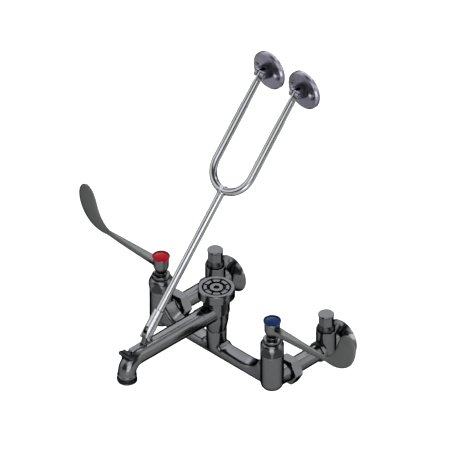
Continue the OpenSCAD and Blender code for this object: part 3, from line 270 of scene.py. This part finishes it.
platings = {
    # buffed cast brass under chrome, the whole body: dark mirrors with soft bright tops
    "castChromePlate": {"base": "#4e4e50", "hazed": "#444546", "edgeWearHighlightColour": "#a8a9ab", "edge": "#242425",
                        "cornerShade": "#0c0c0d", "cornerReach": 0.005, "cornerShadeAmount": 0.95, "edgeRadius": 0.0005,
                        "edgeWearAndHighlight": 0.6, "roughLow": 0.13, "roughHigh": 0.21, "scuff": 0.06, "hazeSize": 26.0,
                        "buffSize": 1.2, "buffDepth": 0.00002, "castSize": 14.0, "castDepth": 0.0001},
    # wrist blades: chrome over a less finely buffed casting, duller and a little green
    "satinChromeHandle": {"base": "#515252", "hazed": "#484949", "edgeWearHighlightColour": "#8a8b88", "edge": "#101010",
                          "cornerShade": "#0c0d0c", "cornerReach": 0.005, "cornerShadeAmount": 0.95, "edgeRadius": 0.0006,
                          "edgeWearAndHighlight": 0.4, "roughLow": 0.28, "roughHigh": 0.38, "scuff": 0.08, "hazeSize": 22.0,
                          "buffSize": 1.0, "buffDepth": 0.00003, "castSize": 12.0, "castDepth": 0.0001},
    # darker chrome, given to the hose thread, the hook and the stop bonnets; on the bonnets' wrench flats it is
    # painted shade
    "darkChromePlate": {"base": "#2e2f31", "hazed": "#26272a", "edgeWearHighlightColour": "#5e5f62", "edge": "#101010",
                        "cornerShade": "#050505", "cornerReach": 0.004, "cornerShadeAmount": 0.9, "edgeRadius": 0.0003,
                        "edgeWearAndHighlight": 0.7, "roughLow": 0.2, "roughHigh": 0.32, "scuff": 0.06, "hazeSize": 9.0,
                        "buffSize": 0.8, "buffDepth": 0.00002, "castSize": 6.0, "castDepth": 0.00005},
    # chrome on drawn steel rod: the brightest metal, straight and smooth
    "brightChromeRod": {"base": "#7b7c7e", "hazed": "#707174", "edgeWearHighlightColour": "#bcbdbe", "edge": "#060606",
                        "cornerShade": "#0d0d0e", "cornerReach": 0.004, "cornerShadeAmount": 0.9, "edgeRadius": 0.0,
                        "edgeWearAndHighlight": 0.5, "roughLow": 0.16, "roughHigh": 0.24, "scuff": 0.04, "hazeSize": 30.0,
                        "buffSize": 0.9, "buffDepth": 0.00001, "castSize": 40.0, "castDepth": 0.00003},
    # cast flange plates, bluish grey
    "zincFlangePlate": {"base": "#6b6a74", "hazed": "#5e5d67", "edgeWearHighlightColour": "#a2a1a9", "edge": "#1a1a1c",
                        "cornerShade": "#09080b", "cornerReach": 0.006, "cornerShadeAmount": 0.95, "edgeRadius": 0.0005,
                        "edgeWearAndHighlight": 0.5, "roughLow": 0.22, "roughHigh": 0.34, "scuff": 0.06, "hazeSize": 14.0,
                        "buffSize": 1.0, "buffDepth": 0.00002, "castSize": 9.0, "castDepth": 0.0001},
    "stainlessPin": {"base": "#606164", "hazed": "#535457", "edgeWearHighlightColour": "#8c8d90", "edge": "#4a4a4a",
                     "cornerShade": "#0b0b0c", "cornerReach": 0.003, "cornerShadeAmount": 0.9, "edgeRadius": 0.0002,
                     "edgeWearAndHighlight": 0.5, "roughLow": 0.24, "roughHigh": 0.34, "scuff": 0.08, "hazeSize": 5.0,
                     "buffSize": 0.7, "buffDepth": 0.00001, "castSize": 5.0, "castDepth": 0.00002},
    "turnedBrass": {"base": "#a8873f", "hazed": "#937433", "edgeWearHighlightColour": "#cdb06c", "edge": "#8a7a50",
                    "cornerShade": "#2a1f0e", "cornerReach": 0.003, "cornerShadeAmount": 0.8, "edgeRadius": 0.0002,
                    "edgeWearAndHighlight": 0.5, "roughLow": 0.2, "roughHigh": 0.34, "scuff": 0.1, "hazeSize": 8.0,
                    "buffSize": 0.6, "buffDepth": 0.00002, "castSize": 6.0, "castDepth": 0.00002},
}


def mouldedPlastic(name, look):
    # plastic, rubber or ceramic: an even colour, a faint orange peel, a shine of its own and painted shade in the
    # corners
    made, tree = newMaterial(name)
    where = addNode(tree, 'ShaderNodeTexCoord')
    cloud = addNode(tree, 'ShaderNodeTexNoise', {"Scale": perMetre(look["cloudSize"]), "Detail": 3.0},
                    {"Vector": (where, "Object")})
    tone = addNode(tree, 'ShaderNodeMix', {"data_type": 'RGBA', 6: hexColour(look["base"]),
                   7: hexColour(look["shade"])}, {0: (cloud, 0)})
    # painted shade: ambient occlusion darkens corners and the button dish towards a dark colour
    corner = addNode(tree, 'ShaderNodeAmbientOcclusion', {"samples": 8, "Distance": 0.005})
    cornerShade = mapSpan(tree, (corner, "AO"), spans["plasticCorner"], look["cornerShadeAmount"], 0.0)
    toned = addNode(tree, 'ShaderNodeMix', {"data_type": 'RGBA', 7: hexColour(look["cornerShade"])},
                    {0: (cornerShade, 0), 6: (tone, 2)})
    rough = mapSpan(tree, (cloud, 0), spans["cloud"], look["roughLow"], look["roughHigh"])
    peel = addNode(tree, 'ShaderNodeTexNoise', {"Scale": perMetre(look["peelSize"]), "Detail": 1.0},
                   {"Vector": (where, "Object")})
    bump = addNode(tree, 'ShaderNodeBump', {"Strength": 0.3, "Distance": look["peelDepth"]}, {"Height": (peel, 0)})
    shader = addNode(tree, 'ShaderNodeBsdfPrincipled', {"IOR": look["ior"], "Specular IOR Level": look["shine"]},
                     {"Base Color": (toned, 2), "Roughness": (rough, 0), "Normal": (bump, 0)})
    addNode(tree, 'ShaderNodeOutputMaterial', None, {"Surface": (shader, 0)})
    return made


plastics = {
    "redButtonAbs": {"base": "#8c0618", "shade": "#6e0412", "cornerShade": "#140103", "cornerShadeAmount": 0.85, "roughLow": 0.14,
                     "roughHigh": 0.24, "cloudSize": 7.0, "peelSize": 1.1, "peelDepth": 0.00002, "ior": 1.53,
                     "shine": 0.012},
    "blueButtonAbs": {"base": "#0a214e", "shade": "#07183c", "cornerShade": "#02040a", "cornerShadeAmount": 0.85, "roughLow": 0.14,
                      "roughHigh": 0.24, "cloudSize": 7.0, "peelSize": 1.1, "peelDepth": 0.00002, "ior": 1.53,
                      "shine": 0.012},
    "acetalFloat": {"base": "#8d8b84", "shade": "#7d7b74", "cornerShade": "#1c1b18", "cornerShadeAmount": 0.8, "roughLow": 0.35,
                    "roughHigh": 0.5, "cloudSize": 6.0, "peelSize": 0.8, "peelDepth": 0.00003, "ior": 1.48,
                    "shine": 0.5},
    "blackRubber": {"base": "#1c1c1d", "shade": "#262627", "cornerShade": "#0c0c0c", "cornerShadeAmount": 0.7, "roughLow": 0.6,
                    "roughHigh": 0.8, "cloudSize": 4.0, "peelSize": 0.5, "peelDepth": 0.00006, "ior": 1.5,
                    "shine": 0.5},
    "firedAlumina": {"base": "#e9e5d8", "shade": "#d9d4c4", "cornerShade": "#8a8270", "cornerShadeAmount": 0.7, "roughLow": 0.3,
                     "roughHigh": 0.45, "cloudSize": 3.0, "peelSize": 0.5, "peelDepth": 0.00001, "ior": 1.76,
                     "shine": 0.5},
}

finishes = {name: platedMetal(name, look) for name, look in platings.items()}
finishes.update({name: mouldedPlastic(name, look) for name, look in plastics.items()})

slotFinish = {
    "chrome_plate": "castChromePlate", "handle_chrome": "satinChromeHandle", "dark_chrome": "darkChromePlate",
    "brace_chrome": "brightChromeRod", "flange_plate": "zincFlangePlate", "steel_pins": "stainlessPin",
    "brass": "turnedBrass", "ceramic": "firedAlumina", "rubber": "blackRubber", "float_plastic": "acetalFloat",
    "red_plastic": "redButtonAbs", "blue_plastic": "blueButtonAbs",
}
nodeFinish = {node: slotFinish[slot] for node, slot in slotOf.items()}
nodeFinish.update({"stop_bonnet_hot": "darkChromePlate", "stop_bonnet_cold": "darkChromePlate"})
for node, finish in nodeFinish.items():
    wanted = nodes[node].data.materials
    wanted.clear()
    wanted.append(finishes[finish])
print("materials made")


seamGap = 0.00002    # m, vertices nearer than this are one in the merged copies


def pickFaces(piece, wanted):
    # leaves the piece in edit mode with the faces selected that the test wants
    bpy.ops.object.mode_set(mode='EDIT')
    bpy.ops.mesh.select_mode(type='FACE')
    bpy.ops.mesh.select_all(action='DESELECT')
    bpy.ops.object.mode_set(mode='OBJECT')
    for face in piece.data.polygons:
        face.select = wanted(face)
    bpy.ops.object.mode_set(mode='EDIT')


def onlyThis(piece):
    bpy.ops.object.select_all(action='DESELECT')
    piece.select_set(True)
    bpy.context.view_layer.objects.active = piece


def mergedCopy(name, node):
    # a copy of a node's mesh with its seams joined, left in edit mode with all of it selected
    made = bpy.data.objects.new(name, nodes[node].data.copy())
    bpy.context.scene.collection.objects.link(made)
    onlyThis(made)
    bpy.ops.object.mode_set(mode='EDIT')
    bpy.ops.mesh.select_mode(type='VERT')
    bpy.ops.mesh.select_all(action='SELECT')
    bpy.ops.mesh.remove_doubles(threshold=seamGap)
    bpy.ops.mesh.customdata_custom_splitnormals_clear()
    return made


def carve(piece, tool, how):
    # joins a tool shape to the piece or cuts it away, and drops the tool
    onlyThis(piece)
    cut = piece.modifiers.new("cut", 'BOOLEAN')
    cut.object = tool
    cut.operation = how
    cut.solver = 'EXACT'
    bpy.ops.object.modifier_apply(modifier=cut.name)
    bpy.data.objects.remove(tool)


def settle(piece, node, smoothAngle):
    # place into the mesh, smooth shading, the node's finish, and the node hidden with the piece hung on its body
    onlyThis(piece)
    bpy.ops.object.transform_apply(location=True, rotation=True, scale=True)
    bpy.ops.object.shade_smooth_by_angle(angle=math.radians(smoothAngle))
    piece.data.materials.clear()
    piece.data.materials.append(finishes[nodeFinish[node]])
    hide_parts(node)
    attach(piece, bodyOf[node])
    bpy.ops.object.select_all(action='DESELECT')


# castings whose faces blend into each other: merged copies with one smooth surface
castings = {
    "bridgeCasting": {"node": "bridge_body", "smoothAngle": 32.0},
    "spoutCasting": {"node": "spout", "smoothAngle": 32.0},
    "breakerCasting": {"node": "breaker_body", "smoothAngle": 32.0},
    "wristBladeHot": {"node": "handle_hot", "smoothAngle": 50.0},
    "wristBladeCold": {"node": "handle_cold", "smoothAngle": 50.0},
}
for name, casting in castings.items():
    piece = mergedCopy(name, casting["node"])
    bpy.ops.object.mode_set(mode='OBJECT')
    settle(piece, casting["node"], casting["smoothAngle"])
print("castings smoothed")


# brace rods: the straight rod and the bent fork, stouter than their solids past a swage below the eyes
braceShape = {
    "pieces": {"stoutRod": "brace_rod", "stoutFork": "brace_yoke"},
    "stouter": 0.0005,                         # m, all round
    "swageFrom": 0.036, "swageTo": 0.046,      # m from the eyes
    "smoothAngle": 40.0,
}
low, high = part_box("flange_pins")
eyes = (low + high) / 2
low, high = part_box("brace_pin")
along = ((low + high) / 2 - eyes).normalized()      # from between the eyes down to the clevis
swageMiddle = (braceShape["swageFrom"] + braceShape["swageTo"]) / 2
for name, node in braceShape["pieces"].items():
    piece = mergedCopy(name, node)
    for reach in (braceShape["swageFrom"], braceShape["swageTo"]):
        bpy.ops.mesh.select_all(action='SELECT')
        bpy.ops.mesh.bisect(plane_co=eyes + along * reach, plane_no=along)
    bpy.ops.mesh.select_all(action='DESELECT')
    bpy.ops.object.mode_set(mode='OBJECT')
    for vertex in piece.data.vertices:
        vertex.select = (vertex.co - eyes).dot(along) > swageMiddle
    bpy.ops.object.mode_set(mode='EDIT')
    bpy.ops.transform.shrink_fatten(value=braceShape["stouter"], use_even_offset=True)
    bpy.ops.object.mode_set(mode='OBJECT')
    settle(piece, node, braceShape["smoothAngle"])
print("brace rods made")


# bonnets: a turned body whose domed shoulder is cut by six wrench flats into arches
bonnetShape = {
    "turnDeg": {"bonnet_hot": -4.5, "bonnet_cold": -15.0},
    "flats": 0.031, "flatsFrom": 0.0422, "flatsTall": 0.0165, "flatsWide": 0.0164, "cutDeep": 0.004,
    "sides": 96, "smoothAngle": 16.0,
    "upright": 0.01, "aboveFoot": 0.0004, "nearFlat": 0.0001,     # how close a face of a flat has to be
    "profile": (                # outside, then the bore, as radius and height in mm
        (8.7, 33.0), (13.0, 33.0), (13.0, 41.0), (15.5, 41.0), (15.5, 42.2), (17.1, 43.8), (17.1, 46.5),
        (17.02, 49.0), (16.8, 51.0), (16.45, 52.8), (16.0, 54.6), (15.5, 56.0), (14.9, 57.4), (14.1, 58.8),
        (13.3, 59.7), (12.5, 60.2), (11.1, 60.4), (11.1, 61.3), (11.6, 61.6), (12.0, 62.1), (12.0, 64.3),
        (11.7, 65.0), (11.1, 65.5), (10.4, 65.7), (7.6, 65.7), (7.6, 68.0), (7.1, 68.5), (4.05, 68.5),
        (4.05, 50.5), (8.7, 50.5)),
}
bpy.ops.object.select_all(action='DESELECT')
before = bonnetShape["profile"][0]
bpy.ops.mesh.primitive_circle_add(vertices=bonnetShape["sides"], radius=before[0] / 1000,
                                  location=(0, 0, before[1] / 1000))
turnedBonnet = bpy.context.object
bpy.ops.object.transform_apply(location=True)
bpy.ops.object.mode_set(mode='EDIT')
bpy.ops.mesh.select_mode(type='EDGE')
bpy.ops.mesh.select_all(action='SELECT')
for radius, height in bonnetShape["profile"][1:]:
    bpy.ops.mesh.extrude_region_move(TRANSFORM_OT_translate={"value": (0, 0, (height - before[1]) / 1000)})
    bpy.ops.transform.resize(value=(radius / before[0], radius / before[0], 1.0), center_override=(0, 0, 0))
    before = (radius, height)
bpy.ops.mesh.select_all(action='DESELECT')
bpy.ops.mesh.select_non_manifold()
bpy.ops.mesh.bridge_edge_loops()
bpy.ops.mesh.select_all(action='SELECT')
bpy.ops.mesh.normals_make_consistent(inside=False)
bpy.ops.object.mode_set(mode='OBJECT')
for node, name in (("bonnet_hot", "archedBonnetHot"), ("bonnet_cold", "archedBonnetCold")):
    made = bpy.data.objects.new(name, turnedBonnet.data.copy())
    bpy.context.scene.collection.objects.link(made)
    for step in range(6):
        angle = math.radians(60 * step + bonnetShape["turnDeg"][node])
        out = bonnetShape["flats"] / 2 + bonnetShape["cutDeep"] / 2
        bpy.ops.object.select_all(action='DESELECT')
        bpy.ops.mesh.primitive_cube_add(size=1.0, rotation=(0, 0, angle), location=(
            out * math.cos(angle), out * math.sin(angle), bonnetShape["flatsFrom"] + bonnetShape["flatsTall"] / 2),
            scale=(bonnetShape["cutDeep"], bonnetShape["flatsWide"], bonnetShape["flatsTall"]))
        carve(made, bpy.context.object, 'DIFFERENCE')
    low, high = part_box(node)
    axis = Vector(((low.x + high.x) / 2, (low.y + high.y) / 2, 0))
    made.location = axis
    settle(made, node, bonnetShape["smoothAngle"])
    # painted shade: the wrench flats take the darker chrome so that they read darker than the dome
    made.data.materials.append(finishes["darkChromePlate"])     # sets the flats off from the dome
    for face in made.data.polygons:
        across = (face.center - axis).dot(face.normal)
        if (abs(face.normal.z) < bonnetShape["upright"]
                and face.center.z > bonnetShape["flatsFrom"] + bonnetShape["aboveFoot"]
                and abs(across - bonnetShape["flats"] / 2) < bonnetShape["nearFlat"]):
            face.material_index = 1
bpy.data.objects.remove(turnedBonnet)
print("bonnets made")


# index buttons: a rim round a shallow dish with a low crown, and a snap ring under it
buttonShape = {
    "radius": 0.0116, "thick": 0.0026, "under": 0.0913, "sides": 72, "smoothAngle": 35.0,
    "rim": 0.0012, "dishWall": 0.0006, "dishDrop": 0.0016,
    "crownSteps": (0.0018, 0.0024, 0.0028), "crownRise": (0.0006, 0.0004, 0.0002),
    "ringOuter": 0.0084, "ringInner": 0.0061, "ringDeep": 0.0036,
    "edge": 0.0006, "edgeSteps": 3, "edgeAngle": 40.0,
    "facing": 0.9,              # how far up or down a face has to look to be top or underside
}
bpy.ops.object.select_all(action='DESELECT')
bpy.ops.mesh.primitive_cylinder_add(vertices=buttonShape["sides"], radius=buttonShape["radius"],
                                    depth=buttonShape["thick"],
                                    location=(0, 0, buttonShape["under"] + buttonShape["thick"] / 2))
button = bpy.context.object
bpy.ops.object.transform_apply(location=True)
pickFaces(button, lambda face: face.normal.z > buttonShape["facing"])
bpy.ops.mesh.inset(thickness=buttonShape["rim"])
bpy.ops.mesh.inset(thickness=buttonShape["dishWall"])
bpy.ops.transform.translate(value=(0, 0, -buttonShape["dishDrop"]))
for step, rise in zip(buttonShape["crownSteps"], buttonShape["crownRise"]):
    bpy.ops.mesh.inset(thickness=step)
    bpy.ops.transform.translate(value=(0, 0, rise))
pickFaces(button, lambda face: face.normal.z < -buttonShape["facing"])
bpy.ops.mesh.inset(thickness=buttonShape["radius"] - buttonShape["ringOuter"])
bpy.ops.mesh.inset(thickness=buttonShape["ringOuter"] - buttonShape["ringInner"])
pickFaces(button, lambda face: face.normal.z < -buttonShape["facing"] and
          buttonShape["ringInner"] < math.hypot(face.center.x, face.center.y) < buttonShape["ringOuter"])
bpy.ops.mesh.extrude_region_move(TRANSFORM_OT_translate={"value": (0, 0, -buttonShape["ringDeep"])})
bpy.ops.object.mode_set(mode='OBJECT')
soften = button.modifiers.new("edge", 'BEVEL')
soften.width = buttonShape["edge"]
soften.segments = buttonShape["edgeSteps"]
soften.limit_method = 'ANGLE'
soften.angle_limit = math.radians(buttonShape["edgeAngle"])
bpy.ops.object.modifier_apply(modifier=soften.name)
for node, name in (("index_button_hot", "indexButtonHot"), ("index_button_cold", "indexButtonCold")):
    low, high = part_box(node)
    made = bpy.data.objects.new(name, button.data.copy())
    bpy.context.scene.collection.objects.link(made)
    made.location = ((low.x + high.x) / 2, (low.y + high.y) / 2, 0)
    settle(made, node, buttonShape["smoothAngle"])
bpy.data.objects.remove(button)
print("index buttons made")


# hose thread: a tube with a real helical ridge
low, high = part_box("outlet_thread")
threadShape = {
    "centre": ((low.x + high.x) / 2, (low.y + high.y) / 2), "bottom": low.z, "top": high.z,
    "crest": (high.x - low.x) / 2, "root": (high.x - low.x) / 2 - 0.0013, "bore": 0.009,
    "pitch": 0.0022, "turns": 2, "start": 0.0014, "sides": 72, "boreLong": 0.03, "smoothAngle": 30.0,
    "ridge": 0.0016, "ridgeSlope": 0.00045, "ridgeSeam": 0.000005,
}
middle = (threadShape["top"] + threadShape["bottom"]) / 2
start = threadShape["bottom"] + threadShape["start"]
bpy.ops.mesh.primitive_cylinder_add(
    vertices=threadShape["sides"], radius=threadShape["root"],
    depth=threadShape["top"] - threadShape["bottom"], location=(0, 0, middle))
hoseThread = bpy.context.object
hoseThread.name = "hoseThread"
bpy.ops.object.transform_apply(location=True)
bpy.ops.object.select_all(action='DESELECT')
bpy.ops.mesh.primitive_plane_add(size=threadShape["ridge"], rotation=(math.pi / 2, 0, 0),
                                 location=(threadShape["crest"] - threadShape["ridge"] / 2, 0, start))
ridge = bpy.context.object
bpy.ops.object.transform_apply(location=True, rotation=True)
for corner in ridge.data.vertices:
    if corner.co.x > threadShape["crest"] - threadShape["ridge"] / 4:
        corner.co.z += threadShape["ridgeSlope"] if corner.co.z < start else -threadShape["ridgeSlope"]
wind = ridge.modifiers.new("wind", 'SCREW')
wind.axis = 'Z'
wind.angle = 2 * math.pi
wind.iterations = threadShape["turns"]
wind.screw_offset = threadShape["pitch"]
wind.steps = wind.render_steps = threadShape["sides"]
wind.use_normal_calculate = True
bpy.ops.object.modifier_apply(modifier=wind.name)
bpy.ops.object.mode_set(mode='EDIT')
bpy.ops.mesh.select_all(action='SELECT')
bpy.ops.mesh.remove_doubles(threshold=threadShape["ridgeSeam"])
bpy.ops.mesh.fill_holes(sides=4)
bpy.ops.mesh.normals_make_consistent(inside=False)
bpy.ops.object.mode_set(mode='OBJECT')
bpy.ops.object.select_all(action='DESELECT')
bpy.ops.mesh.primitive_cylinder_add(vertices=threadShape["sides"], radius=threadShape["bore"],
                                    depth=threadShape["boreLong"], location=(0, 0, middle))
bore = bpy.context.object
carve(hoseThread, ridge, 'UNION')
carve(hoseThread, bore, 'DIFFERENCE')
hoseThread.location = (threadShape["centre"][0], threadShape["centre"][1], 0)
settle(hoseThread, "outlet_thread", threadShape["smoothAngle"])
print("hose thread cut")


low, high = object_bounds()
